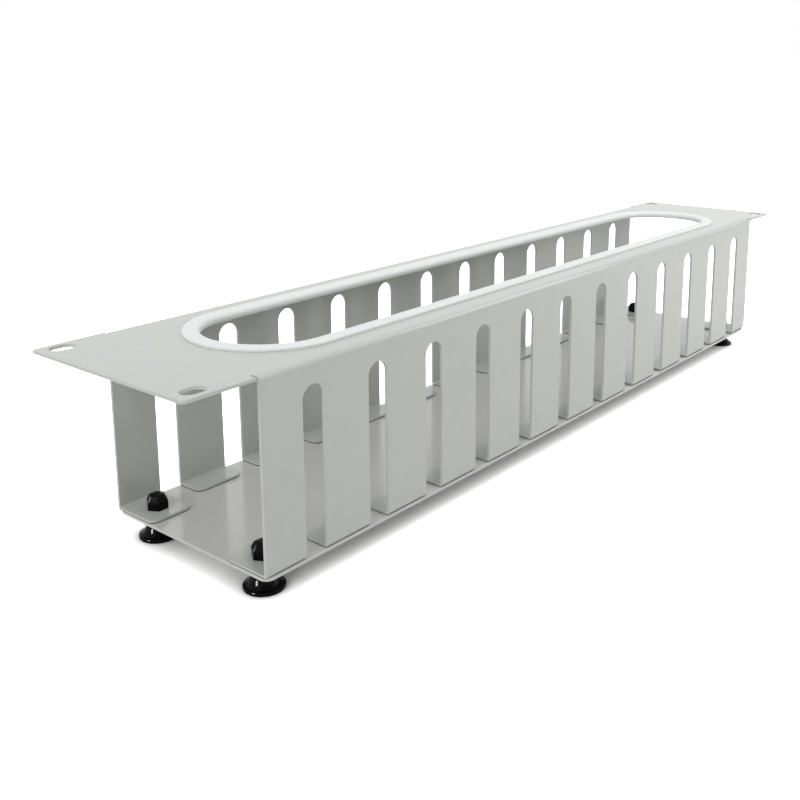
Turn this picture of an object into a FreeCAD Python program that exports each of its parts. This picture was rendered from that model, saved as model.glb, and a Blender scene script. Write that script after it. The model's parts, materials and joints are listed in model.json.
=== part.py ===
import FreeCAD, Part
import math
import os

# Horizontal cable manager for a 19 inch rack, two rack units high.
# A folded sheet-steel duct has comb walls of thirteen fingers each, a front panel with rack ears
# and a racetrack cable opening lined with a U-profile edge trim. A flat plate closes the back.
# Four moulded feet clamp that plate to the end fingers, each with its own steel stud, which is
# moulded into the foot, and a plastic cap nut.
#
# Frame, in millimetres: the part stands on its feet with the front panel up.
# X runs along the rack width, Y across the panel height, Z up. The origin is on the floor,
# at the middle of the bounding box. Left is -X, right is +X, near is -Y, far is +Y.

# Rack standard
PANEL_LENGTH = 482.6
PANEL_WIDTH = 88.1
RACK_HOLE_SPACING_X = 465.1
RACK_HOLE_SPACING_Y = 76.2
RACK_SLOT_LENGTH = 9.8
RACK_SLOT_WIDTH = 6.8
EAR_CORNER_RADIUS = 1.5

# Folded duct
SHEET = 1.2
BEND_RADIUS = 1.8                # outer radius of the folds between the panel and the walls
FLANGE_BEND_RADIUS = 1.6         # outer radius of the folds at the fingers' feet
DUCT_LENGTH = 420.6
DUCT_HEIGHT = 73.6               # underside of the finger feet to the panel's face
SLOT_COUNT = 12                  # gaps in each comb wall
SLOT_PITCH = 33.8
SLOT_WIDTH = 10.4
SLOT_TOP_MARGIN = 8.8            # panel's face down to the crown of each gap
FLANGE_DEPTH = 13.0              # turned-in foot of a middle finger
END_FLANGE_DEPTH = 22.5          # turned-in foot of an end finger, which takes a stud
FLANGE_CORNER_RADIUS = 3.5
RELIEF_WIDTH = 1.2               # notch between the end of a panel fold and the ear
RELIEF_DEPTH = 3.2

# Cable opening and its edge trim
OPENING_WIDTH = 55.6
TRIM_LEG = 6.0                   # how far each leg of the trim grips the panel
TRIM_WALL = 1.2                  # thickness of a leg
TRIM_LIP_CHAMFER = 0.7           # along the free edge of each leg
TRIM_NOSE = 1.1                  # thickness of the rounded web inside the opening
TRIM_NOSE_CHAMFER = 1.0

# Back plate
PLATE_THICKNESS = 1.2
PLATE_CORNER_RADIUS = 3.5

# Fasteners
HOLE_RADIUS = 2.25
FASTENER_INSET_Y = 12.6          # wall's outer face to a fastener's axis
FOOT_HEIGHT = 9.6
FOOT_RIM_RADIUS = 7.9
FOOT_RIM_TOP = 1.2               # height of the rim's upper edge above the floor
FOOT_NECK_RADIUS = 4.6
FOOT_FLARE_TOP = 4.8             # height at which the flare meets the neck
STUD_RADIUS = 2.0
STUD_BOTTOM = 3.0                # height of the stud's lower end, inside the foot
STUD_GRIP_IN_NUT = 4.4
NUT_ACROSS_FLATS = 8.0
NUT_HEIGHT = 6.0
NUT_HEX_HEIGHT = 3.6             # upright flats, below the tapered crown
NUT_CROWN_ACROSS_FLATS = 4.6
NUT_BORE_DEPTH = 4.6

# Levels and places that follow
PLATE_BOTTOM = FOOT_HEIGHT
DUCT_BOTTOM = PLATE_BOTTOM + PLATE_THICKNESS
PANEL_TOP = DUCT_BOTTOM + DUCT_HEIGHT
PANEL_BOTTOM = PANEL_TOP - SHEET
FLANGE_TOP = DUCT_BOTTOM + SHEET
HALF_WIDTH = PANEL_WIDTH / 2
HALF_DUCT = DUCT_LENGTH / 2
HALF_PANEL = PANEL_LENGTH / 2
END_FINGER = (DUCT_LENGTH - (SLOT_COUNT - 1) * SLOT_PITCH - SLOT_WIDTH) / 2
FASTENER_X = HALF_DUCT - END_FINGER / 2
FASTENER_Y = HALF_WIDTH - FASTENER_INSET_Y
OPENING_END_X = HALF_DUCT - HALF_WIDTH      # centre of each round end of the opening
CLEARANCE = 1.0                             # how far a cutter stands proud of what it cuts

V = FreeCAD.Vector
UP = V(0, 0, 1)
LEFT_RIGHT = {"left": -1, "right": 1}
NEAR_FAR = {"near": -1, "far": 1}


def outline(corners):
    """Closed face whose (point, radius) corners are each rounded by a tangent arc."""
    count = len(corners)
    entries, exits, arcs = [], [], []
    for i, (point, radius) in enumerate(corners):
        if radius == 0:
            entries.append(point)
            exits.append(point)
            arcs.append(None)
            continue
        back = (corners[i - 1][0] - point).normalize()
        ahead = (corners[(i + 1) % count][0] - point).normalize()
        half_angle = back.getAngle(ahead) / 2
        inward = (back + ahead).normalize()
        reach = radius / math.tan(half_angle)
        crest = radius / math.sin(half_angle) - radius
        entries.append(point + back * reach)
        exits.append(point + ahead * reach)
        arcs.append(Part.Arc(entries[i], point + inward * crest, exits[i]))
    edges = []
    for i in range(count):
        start, end = exits[i - 1], entries[i]
        if start.distanceToPoint(end) > 1e-6:
            edges.append(Part.LineSegment(start, end).toShape())
        if arcs[i]:
            edges.append(arcs[i].toShape())
    return Part.Face(Part.Wire(edges))


def rounded_plate(length, width, radius, bottom, thickness):
    """Flat plate about the Z axis with rounded corners."""
    x, y = length / 2, width / 2
    corners = [(V(x, y, bottom), radius), (V(-x, y, bottom), radius),
               (V(-x, -y, bottom), radius), (V(x, -y, bottom), radius)]
    return outline(corners).extrude(UP * thickness)


def revolved(profile):
    """Solid turned about the Z axis from a closed list of (radius, height)."""
    face = outline([(V(radius, 0, height), 0) for radius, height in profile])
    return face.revolve(V(0, 0, 0), UP, 360)


def fastener_places():
    """Name suffix and XY place of each of the four fasteners."""
    return {f"{side}_{end}": V(sx * FASTENER_X, sy * FASTENER_Y, 0)
            for side, sx in LEFT_RIGHT.items() for end, sy in NEAR_FAR.items()}


def fastener_holes(bottom, thickness):
    """Cutters for the four stud holes through a sheet."""
    height = thickness + 2 * CLEARANCE
    return [Part.makeCylinder(HOLE_RADIUS, height, place + UP * (bottom - CLEARANCE))
            for place in fastener_places().values()]


def slot_centres():
    """X of the middle of each gap in a comb wall."""
    first = -(SLOT_COUNT - 1) * SLOT_PITCH / 2
    return [first + i * SLOT_PITCH for i in range(SLOT_COUNT)]


def fingers():
    """Start X, end X and flange depth of each finger of a comb wall."""
    gaps = slot_centres()
    starts = [-HALF_DUCT] + [x + SLOT_WIDTH / 2 for x in gaps]
    ends = [x - SLOT_WIDTH / 2 for x in gaps] + [HALF_DUCT]
    depths = [END_FLANGE_DEPTH] + [FLANGE_DEPTH] * (SLOT_COUNT - 1) + [END_FLANGE_DEPTH]
    return list(zip(starts, ends, depths))


def folded_channel():
    """Panel and both walls in one fold section, down to where the lower folds end flat."""
    x = -HALF_DUCT
    outer, inner, stub = HALF_WIDTH, HALF_WIDTH - SHEET, HALF_WIDTH - FLANGE_BEND_RADIUS
    far_side = [(outer, PANEL_TOP, BEND_RADIUS), (outer, DUCT_BOTTOM, FLANGE_BEND_RADIUS),
                (stub, DUCT_BOTTOM, 0), (stub, FLANGE_TOP, 0),
                (inner, FLANGE_TOP, FLANGE_BEND_RADIUS - SHEET),
                (inner, PANEL_BOTTOM, BEND_RADIUS - SHEET)]
    near_side = [(-y, z, radius) for y, z, radius in reversed(far_side)]
    section = outline([(V(x, y, z), radius) for y, z, radius in far_side + near_side])
    return section.extrude(V(DUCT_LENGTH, 0, 0))


def rack_ear(sx):
    """Flat end of the panel that bolts to the rack, on the sx side."""
    root, tip = sx * HALF_DUCT, sx * HALF_PANEL
    corners = [(V(root, -HALF_WIDTH, PANEL_BOTTOM), 0),
               (V(tip, -HALF_WIDTH, PANEL_BOTTOM), EAR_CORNER_RADIUS),
               (V(tip, HALF_WIDTH, PANEL_BOTTOM), EAR_CORNER_RADIUS),
               (V(root, HALF_WIDTH, PANEL_BOTTOM), 0)]
    return outline(corners).extrude(UP * SHEET)


def finger_flange(start, end, depth, sy):
    """Turned-in foot of one finger, with rounded free corners."""
    root, tip = sy * (HALF_WIDTH - FLANGE_BEND_RADIUS), sy * (HALF_WIDTH - depth)
    corners = [(V(start, root, DUCT_BOTTOM), 0), (V(end, root, DUCT_BOTTOM), 0),
               (V(end, tip, DUCT_BOTTOM), FLANGE_CORNER_RADIUS),
               (V(start, tip, DUCT_BOTTOM), FLANGE_CORNER_RADIUS)]
    return outline(corners).extrude(UP * SHEET)


def comb_slot(x):
    """Cutter for one round-topped gap through both walls, open at the bottom."""
    left, right = x - SLOT_WIDTH / 2, x + SLOT_WIDTH / 2
    bottom, crown = DUCT_BOTTOM - CLEARANCE, PANEL_TOP - SLOT_TOP_MARGIN
    y = -HALF_WIDTH - CLEARANCE
    corners = [(V(left, y, bottom), 0), (V(right, y, bottom), 0),
               (V(right, y, crown), SLOT_WIDTH / 2), (V(left, y, crown), SLOT_WIDTH / 2)]
    return outline(corners).extrude(V(0, PANEL_WIDTH + 2 * CLEARANCE, 0))


def cable_opening():
    """Cutter for the racetrack opening in the panel."""
    length = 2 * OPENING_END_X + OPENING_WIDTH
    return rounded_plate(length, OPENING_WIDTH, OPENING_WIDTH / 2,
                         PANEL_BOTTOM - CLEARANCE, SHEET + 2 * CLEARANCE)


def rack_slots():
    """Cutters for the four oblong mounting slots in the ears."""
    slot = rounded_plate(RACK_SLOT_LENGTH, RACK_SLOT_WIDTH, RACK_SLOT_WIDTH / 2,
                         PANEL_BOTTOM - CLEARANCE, SHEET + 2 * CLEARANCE)
    return [slot.translated(V(sx * RACK_HOLE_SPACING_X / 2, sy * RACK_HOLE_SPACING_Y / 2, 0))
            for sx in (-1, 1) for sy in (-1, 1)]


def bend_reliefs():
    """Cutters for the square notches where the panel folds stop at the ears."""
    notch = Part.makeBox(RELIEF_WIDTH, 2 * RELIEF_DEPTH, SHEET + 2 * CLEARANCE,
                         V(-RELIEF_WIDTH / 2, -RELIEF_DEPTH, PANEL_BOTTOM - CLEARANCE))
    x = HALF_DUCT + RELIEF_WIDTH / 2
    return [notch.translated(V(sx * x, sy * HALF_WIDTH, 0)) for sx in (-1, 1) for sy in (-1, 1)]


def duct_body():
    """The whole folded sheet: panel, ears, comb walls and turned-in feet."""
    additions = [rack_ear(sx) for sx in (-1, 1)]
    additions += [finger_flange(start, end, depth, sy)
                  for start, end, depth in fingers() for sy in (-1, 1)]
    channel = folded_channel().cut([comb_slot(x) for x in slot_centres()])
    sheet = channel.fuse(additions)
    cutters = [cable_opening()] + rack_slots() + bend_reliefs()
    cutters += fastener_holes(DUCT_BOTTOM, SHEET)
    return sheet.cut(cutters).removeSplitter()


def base_plate():
    """Flat plate that closes the back of the duct."""
    plate = rounded_plate(DUCT_LENGTH, PANEL_WIDTH, PLATE_CORNER_RADIUS, PLATE_BOTTOM, PLATE_THICKNESS)
    return plate.cut(fastener_holes(PLATE_BOTTOM, PLATE_THICKNESS))


def trim_section():
    """U profile astride the panel's edge, two chamfered legs and a full nose, in the YZ plane."""
    edge = OPENING_WIDTH / 2
    tip, nose = edge + TRIM_LEG, edge - TRIM_NOSE
    middle = PANEL_TOP - SHEET / 2
    grip = SHEET / 2
    face = grip + TRIM_WALL
    upper = [(edge, grip), (tip, grip), (tip, face - TRIM_LIP_CHAMFER),
             (tip - TRIM_LIP_CHAMFER, face), (nose + TRIM_NOSE_CHAMFER, face),
             (nose, face - TRIM_NOSE_CHAMFER)]
    lower = [(y, -z) for y, z in reversed(upper)]
    return outline([(V(OPENING_END_X, y, middle + z), 0) for y, z in upper + lower])


def edge_trim():
    """Edge trim run round the whole racetrack: one straight and one round end, turned about Z."""
    section = trim_section()
    straight = section.extrude(V(-2 * OPENING_END_X, 0, 0))
    round_end = section.revolve(V(OPENING_END_X, 0, 0), UP, -180)
    half = straight.fuse(round_end)
    other_half = half.rotated(V(0, 0, 0), UP, 180)
    return half.fuse(other_half).removeSplitter()


def foot():
    """Moulded foot on the origin's axis: broad rim, conical flare, neck and the stud's socket."""
    return revolved([(0, 0), (FOOT_RIM_RADIUS, 0), (FOOT_RIM_RADIUS, FOOT_RIM_TOP),
                     (FOOT_NECK_RADIUS, FOOT_FLARE_TOP), (FOOT_NECK_RADIUS, FOOT_HEIGHT),
                     (STUD_RADIUS, FOOT_HEIGHT), (STUD_RADIUS, STUD_BOTTOM), (0, STUD_BOTTOM)])


def stud():
    """Threaded stud on the origin's axis, from inside the foot up into the cap nut."""
    length = FLANGE_TOP + STUD_GRIP_IN_NUT - STUD_BOTTOM
    return Part.makeCylinder(STUD_RADIUS, length, V(0, 0, STUD_BOTTOM))


def hexagon(across_flats, height):
    """Corners of a hexagon about the Z axis, with two of its flats facing along Y."""
    radius = across_flats / math.sqrt(3)
    turns = [math.radians(60 * i) for i in range(6)]
    return [V(radius * math.cos(a), radius * math.sin(a), height) for a in turns]


def tapered_hexagon(lower, upper):
    """Solid between two hexagons, with six flat sloping sides."""
    sides = [(lower[i - 1], lower[i], upper[i], upper[i - 1]) for i in range(6)]
    faces = [Part.Face(Part.makePolygon([*ring, ring[0]])) for ring in [lower, upper, *sides]]
    return Part.Solid(Part.Shell(faces))


def cap_nut():
    """Closed hexagonal cap nut with a tapered crown, seated on the finger's flange."""
    base = hexagon(NUT_ACROSS_FLATS, FLANGE_TOP)
    shoulder = hexagon(NUT_ACROSS_FLATS, FLANGE_TOP + NUT_HEX_HEIGHT)
    crown = hexagon(NUT_CROWN_ACROSS_FLATS, FLANGE_TOP + NUT_HEIGHT)
    bore = Part.makeCylinder(STUD_RADIUS, NUT_BORE_DEPTH, V(0, 0, FLANGE_TOP))
    nut = tapered_hexagon(base, shoulder).fuse(tapered_hexagon(shoulder, crown))
    return nut.cut(bore).removeSplitter()


def write(node, shape):
    """Check one sub-part and write its STEP file."""
    solid = shape.Solids[0] if len(shape.Solids) == 1 else shape
    volume = f"{solid.Volume / 1000:.2f} cm3"
    print(f"{node}: valid {solid.isValid()}, solids {len(shape.Solids)}, volume {volume}")
    solid.exportStep(f"parts/{node}.step")


def main():
    os.makedirs("parts", exist_ok=True)
    write("duct_body", duct_body())
    write("base_plate", base_plate())
    write("edge_trim", edge_trim())
    for suffix, place in fastener_places().items():
        write(f"foot_{suffix}", foot().translated(place))
        write(f"stud_{suffix}", stud().translated(place))
        write(f"cap_nut_{suffix}", cap_nut().translated(place))


main()
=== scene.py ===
import json
import math
import bmesh
import bpy
from mathutils import Matrix, Vector


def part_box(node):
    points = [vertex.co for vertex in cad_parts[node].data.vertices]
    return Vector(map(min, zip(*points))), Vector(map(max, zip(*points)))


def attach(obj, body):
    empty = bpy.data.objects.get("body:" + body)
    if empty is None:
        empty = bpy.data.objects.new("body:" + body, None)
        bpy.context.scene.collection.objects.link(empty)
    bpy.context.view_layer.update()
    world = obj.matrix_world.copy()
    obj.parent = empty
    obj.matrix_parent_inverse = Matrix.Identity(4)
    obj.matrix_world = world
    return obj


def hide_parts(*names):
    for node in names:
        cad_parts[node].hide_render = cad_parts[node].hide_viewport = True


# Horizontal cable manager: finishes for the sheet metal, detailed edge trim, feet and cap nuts,
# then the floor, the light and the camera. Lengths are metres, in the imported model's own frame:
# X along the panel, Y across it, Z up, with the feet on the floor at Z = 0.

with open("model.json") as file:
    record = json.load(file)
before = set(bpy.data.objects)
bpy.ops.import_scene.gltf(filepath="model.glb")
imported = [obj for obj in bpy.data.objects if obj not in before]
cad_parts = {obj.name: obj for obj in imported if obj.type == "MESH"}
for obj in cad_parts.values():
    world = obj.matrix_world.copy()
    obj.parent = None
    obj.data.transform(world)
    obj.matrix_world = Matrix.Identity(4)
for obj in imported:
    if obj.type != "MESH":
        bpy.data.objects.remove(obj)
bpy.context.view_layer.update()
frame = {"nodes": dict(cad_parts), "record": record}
MM = 0.001


# Node helpers

MIX_FACTOR = 0                   # a Mix node's sockets in colour mode, which share their names
MIX_FIRST = 6
MIX_SECOND = 7
MIX_RESULT = 2
NOISE_RANGE = (0.3, 0.7)         # where most of a noise factor's values lie
BLEND_RANGE = (0.35, 0.65)       # narrower, so that both colours are reached


def new_material(name):
    """Empty node tree with a Principled shader on its output; returns material, tree, shader."""
    material = bpy.data.materials.new(name)
    material.use_nodes = True
    tree = material.node_tree
    tree.nodes.clear()
    output = tree.nodes.new("ShaderNodeOutputMaterial")
    shader = tree.nodes.new("ShaderNodeBsdfPrincipled")
    tree.links.new(shader.outputs["BSDF"], output.inputs["Surface"])
    return material, tree, shader


def noise(tree, size, detail=2.0, stretch=(1, 1, 1)):
    """Noise factor over object space, whose blobs are about size metres across."""
    place = tree.nodes.new("ShaderNodeTexCoord")
    mapping = tree.nodes.new("ShaderNodeMapping")
    mapping.inputs["Scale"].default_value = stretch
    texture = tree.nodes.new("ShaderNodeTexNoise")
    texture.inputs["Scale"].default_value = 1 / size
    texture.inputs["Detail"].default_value = detail
    tree.links.new(place.outputs["Object"], mapping.inputs["Vector"])
    tree.links.new(mapping.outputs["Vector"], texture.inputs["Vector"])
    return texture.outputs["Fac"]


def remap(tree, value, taken, given):
    """The value's taken range mapped to the given range, and held at its ends."""
    node = tree.nodes.new("ShaderNodeMapRange")
    for socket, level in zip(("From Min", "From Max", "To Min", "To Max"), (*taken, *given)):
        node.inputs[socket].default_value = level
    tree.links.new(value, node.inputs["Value"])
    return node.outputs["Result"]


def spread(tree, factor, low, high):
    """A noise factor's middle range mapped to low..high."""
    return remap(tree, factor, taken=NOISE_RANGE, given=(low, high))


def blend(tree, factor, first, second):
    """Colour between first and second by a noise factor's middle range."""
    ramp = tree.nodes.new("ShaderNodeValToRGB")
    start, end = ramp.color_ramp.elements
    start.position, end.position = BLEND_RANGE
    start.color = (*first, 1)
    end.color = (*second, 1)
    tree.links.new(factor, ramp.inputs["Fac"])
    return ramp.outputs["Color"]


def choose(tree, factor, otherwise, chosen):
    """Colour that is chosen where the factor is 1, else otherwise; each is a socket or a grey level."""
    mix = tree.nodes.new("ShaderNodeMix")
    mix.data_type = "RGBA"
    for shade, place in ((otherwise, MIX_FIRST), (chosen, MIX_SECOND)):
        if isinstance(shade, float):
            mix.inputs[place].default_value = (shade, shade, shade, 1)
        else:
            tree.links.new(shade, mix.inputs[place])
    tree.links.new(factor, mix.inputs[MIX_FACTOR])
    return mix.outputs[MIX_RESULT]


def bump(tree, shader, layers):
    """Chains bump layers of (height, depth in metres) onto the shader's normal."""
    normal = None
    for height, depth in layers:
        node = tree.nodes.new("ShaderNodeBump")
        node.inputs["Strength"].default_value = 1
        node.inputs["Distance"].default_value = depth
        tree.links.new(height, node.inputs["Height"])
        if normal:
            tree.links.new(normal, node.inputs["Normal"])
        normal = node.outputs["Normal"]
    tree.links.new(normal, shader.inputs["Normal"])


# Sheet metal coating

COAT_TONE = (0.512, 0.528, 0.498)
# The plate's own tone is a little more neutral than the coat's; its extra lightness is painted light
# for the shaded inside of the duct.
PLATE_TONE_WITH_PAINTED_LIGHT = (0.580, 0.580, 0.556)
COAT_MOTTLE = 0.01               # share by which the tone wanders either way
PAINTED_SHADE_BAND = (0.03 * MM, 0.38 * MM)   # painted shade: a dark band for the gap shadow between duct and plate, just above the duct's foot
PAINTED_SHADE_GREY = 0.05


def level_band(tree, foot, band):
    """1 between two heights above the foot, else 0."""
    place = tree.nodes.new("ShaderNodeTexCoord")
    split = tree.nodes.new("ShaderNodeSeparateXYZ")
    within = tree.nodes.new("ShaderNodeMath")
    within.operation = "COMPARE"
    middle = foot + sum(band) / 2
    half = (band[1] - band[0]) / 2
    within.inputs[1].default_value = middle
    within.inputs[2].default_value = half
    tree.links.new(place.outputs["Object"], split.inputs["Vector"])
    tree.links.new(split.outputs["Z"], within.inputs[0])
    return within.outputs["Value"]


def powder_coat(name, tone):
    """Light grey glossy powder coat: faint orange peel, a trace of mottle, painted shade along the
    duct's foot at the plate.
    """
    material, tree, shader = new_material(name)
    mottle = noise(tree, size=6 * MM, detail=4)
    peel = noise(tree, size=0.9 * MM)
    light = [level * (1 + COAT_MOTTLE) for level in tone]
    dark = [level * (1 - COAT_MOTTLE) for level in tone]
    # Painted shade: a dark grey band along the duct's foot stands in for the shadow in the gap to the
    # plate.
    painted_shade_mask = level_band(tree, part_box("duct_body")[0][2], PAINTED_SHADE_BAND)
    shade = choose(tree, painted_shade_mask, otherwise=blend(tree, mottle, dark, light), chosen=PAINTED_SHADE_GREY)
    tree.links.new(shade, shader.inputs["Base Color"])
    tree.links.new(spread(tree, mottle, low=0.12, high=0.15), shader.inputs["Roughness"])
    shader.inputs["IOR"].default_value = 1.65
    bump(tree, shader, [(peel, 0.003 * MM), (noise(tree, size=0.3 * MM), 0.0006 * MM)])
    return material


# Plastics and plated steel

def trim_plastic():
    """Pale satin plastic of the edge trim, with a faint grain."""
    material, tree, shader = new_material("trim_plastic")
    grain = noise(tree, size=1.5 * MM, detail=3)
    shade = blend(tree, grain, first=(0.78, 0.80, 0.79), second=(0.82, 0.84, 0.83))
    tree.links.new(shade, shader.inputs["Base Color"])
    tree.links.new(spread(tree, grain, low=0.36, high=0.46), shader.inputs["Roughness"])
    bump(tree, shader, [(noise(tree, size=0.5 * MM), 0.006 * MM)])
    return material


def black_plastic():
    """Black glossy moulding with a faint flow texture."""
    material, tree, shader = new_material("black_plastic")
    grain = noise(tree, size=0.8 * MM, detail=3)
    shade = blend(tree, grain, first=(0.0020, 0.0022, 0.0020), second=(0.0035, 0.0037, 0.0035))
    tree.links.new(shade, shader.inputs["Base Color"])
    tree.links.new(spread(tree, grain, low=0.08, high=0.12), shader.inputs["Roughness"])
    shader.inputs["Specular IOR Level"].default_value = 0.07
    bump(tree, shader, [(noise(tree, size=0.6 * MM), 0.002 * MM)])
    return material


def stud_steel():
    """Zinc-plated steel."""
    material, tree, shader = new_material("stud_steel")
    grain = noise(tree, size=0.3 * MM, detail=3, stretch=(1, 1, 4))
    shade = blend(tree, grain, first=(0.50, 0.51, 0.53), second=(0.62, 0.63, 0.65))
    tree.links.new(shade, shader.inputs["Base Color"])
    tree.links.new(spread(tree, grain, low=0.25, high=0.40), shader.inputs["Roughness"])
    shader.inputs["Metallic"].default_value = 1
    bump(tree, shader, [(grain, 0.01 * MM)])
    return material


# Finishes of the CAD nodes

MATERIALS = {"powder_coat": powder_coat("powder_coat", COAT_TONE),
             "trim_plastic": trim_plastic(),
             "black_plastic": black_plastic(),
             "stud_steel": stud_steel()}


def finish_node(node, material):
    """Gives a CAD node its material."""
    mesh = frame["nodes"][node].data
    mesh.materials.clear()
    mesh.materials.append(material)


for part in frame["record"]["subparts"]:
    finish_node(part["node"], MATERIALS[part["material_slot"]])
# Lighter copy of the coat on the plate: painted light for the duct's shaded inside.
finish_node("base_plate", powder_coat("plate_coat_painted_light", PLATE_TONE_WITH_PAINTED_LIGHT))


WELD_REACH = 0.002 * MM          # joins the corners that neighbouring facets share
SHARP_ANGLE = 40                 # degrees; fold arcs turn less than this from facet to facet


def soften_edges(node, width, segments):
    """Rounds a CAD node's sharp edges a little, by modifiers alone."""
    obj = frame["nodes"][node]
    weld = obj.modifiers.new("weld", "WELD")
    weld.merge_threshold = WELD_REACH
    bevel = obj.modifiers.new("bevel", "BEVEL")
    bevel.width = width
    bevel.segments = segments
    bevel.limit_method = "ANGLE"
    bevel.angle_limit = math.radians(SHARP_ANGLE)
    bevel.use_clamp_overlap = True
    bevel.harden_normals = True


soften_edges("duct_body", width=0.45 * MM, segments=3)
soften_edges("base_plate", width=0.35 * MM, segments=2)


# Mesh helpers for the detailed pieces

AXIS_GAP = 0.02 * MM             # radius of the small cap that closes a turned piece at its axis


def skin(name, rings, closed=False):
    """Smooth mesh over a row of equal closed rings; capped at both ends, or joined end to end."""
    grid = bmesh.new()
    rows = [[grid.verts.new(point) for point in ring] for ring in rings]
    following = rows[1:] + rows[:1] if closed else rows[1:]
    for here, there in zip(rows, following):
        for i in range(len(here)):
            grid.faces.new((here[i - 1], here[i], there[i], there[i - 1]))
    if not closed:
        grid.faces.new(rows[0])
        grid.faces.new(rows[-1])
    bmesh.ops.recalc_face_normals(grid, faces=grid.faces)
    for face in grid.faces:
        face.smooth = True
    mesh = bpy.data.meshes.new(name)
    grid.to_mesh(mesh)
    grid.free()
    obj = bpy.data.objects.new(name, mesh)
    bpy.context.scene.collection.objects.link(obj)
    return obj


def turned_ring(axis, height, steps, reach):
    """Ring about a vertical axis, at a height and at the distance that reach gives for each angle."""
    ring = []
    for i in range(steps):
        angle = 2 * math.pi * i / steps
        distance = reach(angle)
        ring.append(axis + Vector((distance * math.cos(angle), distance * math.sin(angle), height)))
    return ring


def circle(radius):
    """The same distance from the axis at every angle."""
    return lambda angle: radius


def rounded(corners, steps, closed):
    """Points along an outline whose (place, radius) corners are rounded by tangent arcs."""
    corners = [(Vector(place), radius) for place, radius in corners]
    points = []
    count = len(corners)
    for i, (corner, radius) in enumerate(corners):
        if radius == 0 or (not closed and i in (0, count - 1)):
            points.append(corner)
            continue
        back = (corners[i - 1][0] - corner).normalized()
        ahead = (corners[(i + 1) % count][0] - corner).normalized()
        half = back.angle(ahead) / 2
        centre = corner + (back + ahead).normalized() * radius / math.sin(half)
        start = corner + back * radius / math.tan(half) - centre
        end = corner + ahead * radius / math.tan(half) - centre
        turn = start.angle(end)
        for step in range(steps + 1):
            along = step / steps
            points.append(centre + (start * math.sin((1 - along) * turn)
                                    + end * math.sin(along * turn)) / math.sin(turn))
    return points


def node_box(node):
    """Low and high corners of a CAD node's box."""
    low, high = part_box(node)
    return Vector(low), Vector(high)


def base_centre(low, high):
    """Centre of a box's underside."""
    return Vector(((low.x + high.x) / 2, (low.y + high.y) / 2, low.z))


def stand_for(piece, node, slot):
    """Shows a piece in place of a CAD node, riding on the one body."""
    piece.data.materials.append(MATERIALS[slot])
    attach(piece, "root")
    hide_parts(node)


# Edge trim: a soft U profile pressed over the panel's edge

PANEL_THICKNESS = 1.2 * MM
TRIM_LEG = 6.0 * MM              # panel's edge to the free edge of a leg
TRIM_NOSE = 1.1 * MM             # web inside the opening
TRIM_NOSE_RADIUS = 1.65 * MM
TRIM_LIP_RADIUS = 0.8 * MM       # outer corner of a leg's free edge
TRIM_GRIP_RADIUS = 0.1 * MM      # inner corner of a leg's free edge
TRIM_CORNER_STEPS = 8
TRIM_ARC_STEPS = 96
TRIM_RUN_STEPS = 40


def trim_section(half_height):
    """Closed profile as (outward from the panel's edge, up from its middle) points."""
    grip = PANEL_THICKNESS / 2
    upper = [((0, grip), 0),
             ((TRIM_LEG, grip), TRIM_GRIP_RADIUS),
             ((TRIM_LEG, half_height), TRIM_LIP_RADIUS),
             ((-TRIM_NOSE, half_height), TRIM_NOSE_RADIUS)]
    lower = [((u, -w), radius) for (u, w), radius in reversed(upper)]
    return rounded(upper + lower, TRIM_CORNER_STEPS, closed=True)


def edge_trim():
    """The section carried round the racetrack opening."""
    low, high = node_box("edge_trim")
    centre, half = (low + high) / 2, (high - low) / 2
    section = trim_section(half.z)
    run = half.x - half.y
    edge = half.y - TRIM_LEG
    stations = []
    for side in (1, -1):
        for i in range(TRIM_ARC_STEPS + 1):
            angle = math.pi * (i / TRIM_ARC_STEPS - 0.5)
            outward = Vector((math.cos(angle), math.sin(angle), 0)) * side
            stations.append((Vector((side * run, 0, 0)), outward))
        for i in range(1, TRIM_RUN_STEPS):
            x = side * run * (1 - 2 * i / TRIM_RUN_STEPS)
            stations.append((Vector((x, 0, 0)), Vector((0, side, 0))))
    rings = [[centre + place + outward * (edge + u) + Vector((0, 0, w)) for u, w in section]
             for place, outward in stations]
    return skin("edge_trim_profile", rings, closed=True)


stand_for(edge_trim(), "edge_trim", "trim_plastic")


# Feet: rounded rim, concave flare, neck, and the socket for the stud

STUD_RADIUS = 2.0 * MM
TURN_STEPS = 96
CORNER_STEPS = 6                 # arc steps on each rounded corner of a foot's or nut's outline
FOOT_NECK = 4.6 * MM             # neck's radius
FOOT_SOCKET = 3.0 * MM           # height of the socket's floor
FOOT_LIP = 0.75 * MM             # rim's edge to the start of the flare
FLARE_LOW = 1.5 * MM
FLARE_HIGH = 6.2 * MM
FLARE_POWER = 2.2                # how hollow the flare is
FLARE_STEPS = 10
RIM_ROUND = 0.45 * MM
LIP_ROUND = 0.5 * MM
NECK_ROUND = 0.3 * MM


def flare(rim):
    """Outline points of the concave flare, from the rim's lip up to the neck."""
    points = []
    for i in range(FLARE_STEPS + 1):
        rise = i / FLARE_STEPS
        radius = FOOT_NECK + (rim - FOOT_LIP - FOOT_NECK) * (1 - rise) ** FLARE_POWER
        points.append((radius, FLARE_LOW + (FLARE_HIGH - FLARE_LOW) * rise))
    return points


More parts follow.
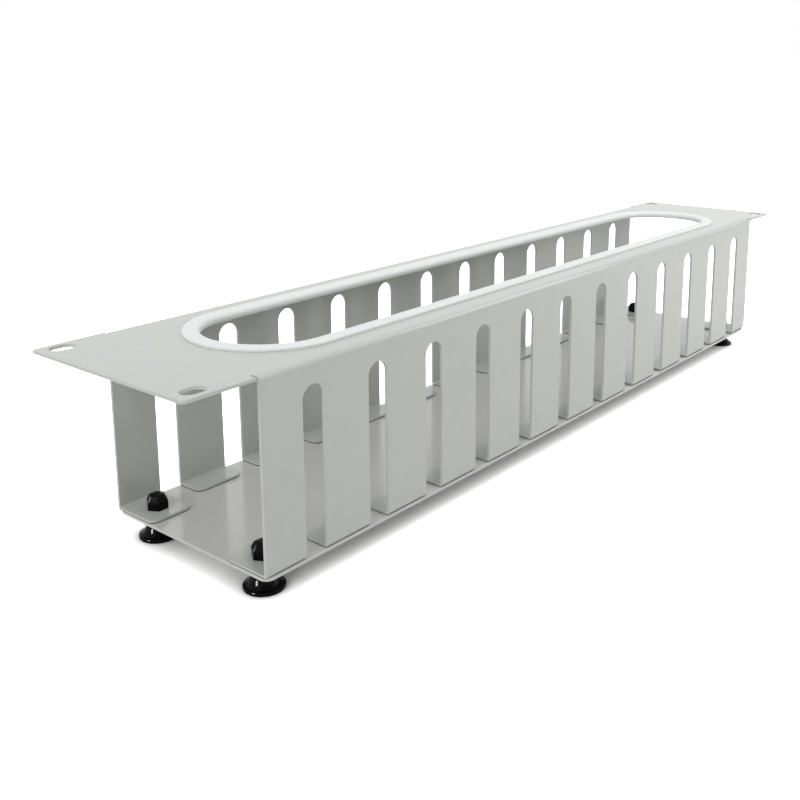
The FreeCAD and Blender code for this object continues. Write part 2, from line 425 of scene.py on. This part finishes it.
def foot(node):
    """Moulded foot, turned from (radius, height) corners."""
    low, high = node_box(node)
    rim, height = (high.x - low.x) / 2, high.z - low.z
    corners = [((AXIS_GAP, 0), 0), ((rim, 0), RIM_ROUND), ((rim, FLARE_LOW), LIP_ROUND)]
    corners += [(point, 0) for point in flare(rim)]
    corners += [((FOOT_NECK, height), NECK_ROUND), ((STUD_RADIUS, height), 0),
                ((STUD_RADIUS, FOOT_SOCKET), 0), ((AXIS_GAP, FOOT_SOCKET), 0)]
    axis = base_centre(low, high)
    rings = [turned_ring(axis, z, TURN_STEPS, circle(radius))
             for radius, z in rounded(corners, CORNER_STEPS, closed=False)]
    return skin(f"{node}_moulding", rings)


# Cap nuts: hexagonal body, tapering crown with eased edges, blind bore for the stud

NUT_STEPS = 192
NUT_BORE = 4.6 * MM              # depth of the blind bore
NUT_BASE_EDGE = 0.1 * MM         # width of the flat ring under the body's edge
NUT_SHOULDER = 0.56              # where the crown starts, as a share of the height
NUT_CROWN = 0.93                 # where the crown's slope ends, as a share of the height
NUT_TOP = 2.5 * MM               # half width of the crown's top
NUT_CROWN_EDGE = 0.35 * MM       # how much wider the slope's end is
NUT_TOP_FLAT = 0.6               # flat share of the top
BASE_ROUND = 0.15 * MM
SHOULDER_ROUND = 0.8 * MM
CROWN_ROUND = 0.5 * MM
TOP_ROUND = 0.6 * MM
HEXAGON_SHARPNESS = 40           # the higher, the sharper its corners
HEXAGON_NORMALS = [math.radians(30 + 60 * k) for k in range(6)]


def soft_hexagon(apothem):
    """Distance, by angle, from the axis to a hexagon with eased corners and two flats facing Y."""
    def reach(angle):
        total = sum(max(0, math.cos(angle - normal)) ** HEXAGON_SHARPNESS for normal in HEXAGON_NORMALS)
        return apothem / total ** (1 / HEXAGON_SHARPNESS)
    return reach


def cap_nut(node):
    """Moulded cap nut: rings down the blind bore, then up the outside.

    The outside's corners are (distance from the axis to a flat, height).
    """
    low, high = node_box(node)
    flat, height = (high.y - low.y) / 2, high.z - low.z
    corners = [((flat - NUT_BASE_EDGE, 0), 0),
               ((flat, 0), BASE_ROUND),
               ((flat, NUT_SHOULDER * height), SHOULDER_ROUND),
               ((NUT_TOP + NUT_CROWN_EDGE, NUT_CROWN * height), CROWN_ROUND),
               ((NUT_TOP * NUT_TOP_FLAT, height), TOP_ROUND),
               ((AXIS_GAP, height), 0)]
    bore = ((AXIS_GAP, NUT_BORE), (STUD_RADIUS, NUT_BORE), (STUD_RADIUS, 0))
    axis = base_centre(low, high)
    rings = [turned_ring(axis, z, NUT_STEPS, circle(radius)) for radius, z in bore]
    rings += [turned_ring(axis, z, NUT_STEPS, soft_hexagon(apothem))
              for apothem, z in rounded(corners, CORNER_STEPS, closed=False)]
    return skin(f"{node}_moulding", rings)


black_parts = bpy.data.collections.new("black_parts")
for side in ("left", "right"):
    for end in ("near", "far"):
        for shape, kind in ((foot, "foot"), (cap_nut, "cap_nut")):
            node = f"{kind}_{side}_{end}"
            piece = shape(node)
            stand_for(piece, node, "black_plastic")
            black_parts.objects.link(piece)


# Floor and sky

FLOOR_SIZE = 40
FLOOR_BOUNCE = 0.80              # floor's reflectance for the light it returns to the object
FLOOR_SHOWN = 2.3                # seen directly, so that only the deeper shadow is below white
FLOOR_MIRRORED = 0.95            # seen by reflection
CONTACT_REACH = 15 * MM          # how far the contact shadow's occluders are looked for
CONTACT_OPENNESS = (0.10, 0.78)  # share of open sky, from the deepest contact shadow to none
CONTACT_DEPTH = 0.12             # what is left of the floor's colour in the deepest of it
SKY_LIGHT = (0.08, 0.94)         # at the horizon and overhead

MIRRORED = ("Is Glossy Ray", "Is Transmission Ray")
SEEN = ("Is Camera Ray",)


def any_ray(tree, kinds):
    """1 for rays of any of these kinds, else 0."""
    path = tree.nodes.new("ShaderNodeLightPath")
    total = path.outputs[kinds[0]]
    for kind in kinds[1:]:
        larger = tree.nodes.new("ShaderNodeMath")
        larger.operation = "MAXIMUM"
        tree.links.new(total, larger.inputs[0])
        tree.links.new(path.outputs[kind], larger.inputs[1])
        total = larger.outputs["Value"]
    return total


def contact_shade(tree, strength):
    """Painted contact shade: strength in the open, falling where the object stands close above the
    floor.
    """
    hollow = tree.nodes.new("ShaderNodeAmbientOcclusion")
    hollow.samples = 8
    hollow.inputs["Distance"].default_value = CONTACT_REACH
    return remap(tree, hollow.outputs["AO"], CONTACT_OPENNESS, (CONTACT_DEPTH * strength, strength))


def make_floor():
    """Plain white floor that keeps the object's shadow, with painted contact shade close under the
    object.
    """
    bpy.ops.mesh.primitive_plane_add(size=FLOOR_SIZE)
    floor = bpy.context.object
    floor.name = "floor"
    material = bpy.data.materials.new("floor_white")
    material.use_nodes = True
    tree = material.node_tree
    tree.nodes.clear()
    output = tree.nodes.new("ShaderNodeOutputMaterial")
    diffuse = tree.nodes.new("ShaderNodeBsdfDiffuse")
    unseen = choose(tree, any_ray(tree, MIRRORED), otherwise=FLOOR_BOUNCE, chosen=FLOOR_MIRRORED)
    shown = contact_shade(tree, FLOOR_SHOWN)
    shade = choose(tree, any_ray(tree, SEEN), otherwise=unseen, chosen=shown)
    tree.links.new(shade, diffuse.inputs["Color"])
    tree.links.new(diffuse.outputs["BSDF"], output.inputs["Surface"])
    floor.data.materials.append(material)


def make_sky():
    """White surround that lights more from above, shown at full white."""
    world = bpy.data.worlds.new("studio")
    bpy.context.scene.world = world
    world.use_nodes = True
    tree = world.node_tree
    tree.nodes.clear()
    output = tree.nodes.new("ShaderNodeOutputWorld")
    place = tree.nodes.new("ShaderNodeTexCoord")
    split = tree.nodes.new("ShaderNodeSeparateXYZ")
    tree.links.new(place.outputs["Generated"], split.inputs["Vector"])
    light = tree.nodes.new("ShaderNodeBackground")
    rise = remap(tree, split.outputs["Z"], taken=(0, 1), given=SKY_LIGHT)
    tree.links.new(rise, light.inputs["Strength"])
    shown = tree.nodes.new("ShaderNodeBackground")
    shown.inputs["Strength"].default_value = 1
    for background in (light, shown):
        background.inputs["Color"].default_value = (1, 1, 1, 1)
    mix = tree.nodes.new("ShaderNodeMixShader")
    tree.links.new(any_ray(tree, SEEN + MIRRORED), mix.inputs["Fac"])
    tree.links.new(light.outputs["Background"], mix.inputs[1])
    tree.links.new(shown.outputs["Background"], mix.inputs[2])
    tree.links.new(mix.outputs["Shader"], output.inputs["Surface"])


make_floor()
make_sky()


# Lamps

OVERHEAD_LIGHT = 0.13            # brightness it gives a white surface that faces it
LEFT_LIGHT = 0.38                # the same, for the sun from the left
RIGHT_LIGHT = 1.85               # radiance of the soft panel near the right end
GLINT_LIGHT = 110                # radiance of the strip that the black parts mirror


def add_lamp(name, kind, direction):
    """Lamp of a kind that shines from a direction towards the object; returns object and lamp."""
    lamp = bpy.data.lights.new(name, kind)
    obj = bpy.data.objects.new(name, lamp)
    obj.rotation_mode = "QUATERNION"
    obj.rotation_quaternion = Vector(direction).to_track_quat("Z", "Y")
    bpy.context.scene.collection.objects.link(obj)
    return obj, lamp


def add_sun(name, direction, brightness, spread_degrees):
    """Distant soft lamp; direction points from the object to the lamp."""
    obj, lamp = add_lamp(name, "SUN", direction)
    lamp.energy = brightness * math.pi
    lamp.angle = math.radians(spread_degrees)
    return obj


def add_panel(name, place, width, height, radiance):
    """Rectangular lamp facing the object, unseen by the camera."""
    obj, lamp = add_lamp(name, "AREA", place)
    lamp.shape = "RECTANGLE"
    lamp.size = width
    lamp.size_y = height
    lamp.energy = radiance * math.pi * width * height
    obj.location = place
    obj.visible_camera = False
    return obj


add_sun("overhead", direction=(0.45, -0.25, 1.0), brightness=OVERHEAD_LIGHT, spread_degrees=70)
left = add_sun("left", direction=(-1.0, -0.12, 0.45), brightness=LEFT_LIGHT, spread_degrees=30)
left.visible_glossy = False      # else the flat panel mirrors it in the end views
add_panel("right", place=(0.40, -0.40, 0.30), width=0.4, height=0.4, radiance=RIGHT_LIGHT)
glint = add_panel("glint", place=(-1.50, 0.21, 0.45), width=0.30, height=0.8, radiance=GLINT_LIGHT)
glint.visible_diffuse = False
glint.light_linking.receiver_collection = black_parts


# Camera

CAMERA_PLACE = Vector((-417.0, -286.2, 187.5)) * MM
CAMERA_HEADING = 39.09           # degrees from +X towards +Y
CAMERA_PITCH = -11.35
CAMERA_ROLL = -0.10
SENSOR_WIDTH = 36                # millimetres inside the camera, like the focal length
FOCAL_LENGTH = 44.53
SHIFT = (-0.0412, -0.1784)

camera = bpy.data.objects.new("camera", bpy.data.cameras.new("camera"))
camera.data.sensor_width = SENSOR_WIDTH
camera.data.lens = FOCAL_LENGTH
camera.data.shift_x, camera.data.shift_y = SHIFT
turn = Matrix.Rotation(math.radians(CAMERA_HEADING - 90), 4, "Z")
tilt = Matrix.Rotation(math.radians(90 + CAMERA_PITCH), 4, "X")
roll = Matrix.Rotation(math.radians(CAMERA_ROLL), 4, "Z")
camera.matrix_world = Matrix.Translation(CAMERA_PLACE) @ turn @ tilt @ roll
bpy.context.scene.collection.objects.link(camera)
bpy.context.scene.camera = camera
bpy.context.scene.view_settings.view_transform = "Standard"
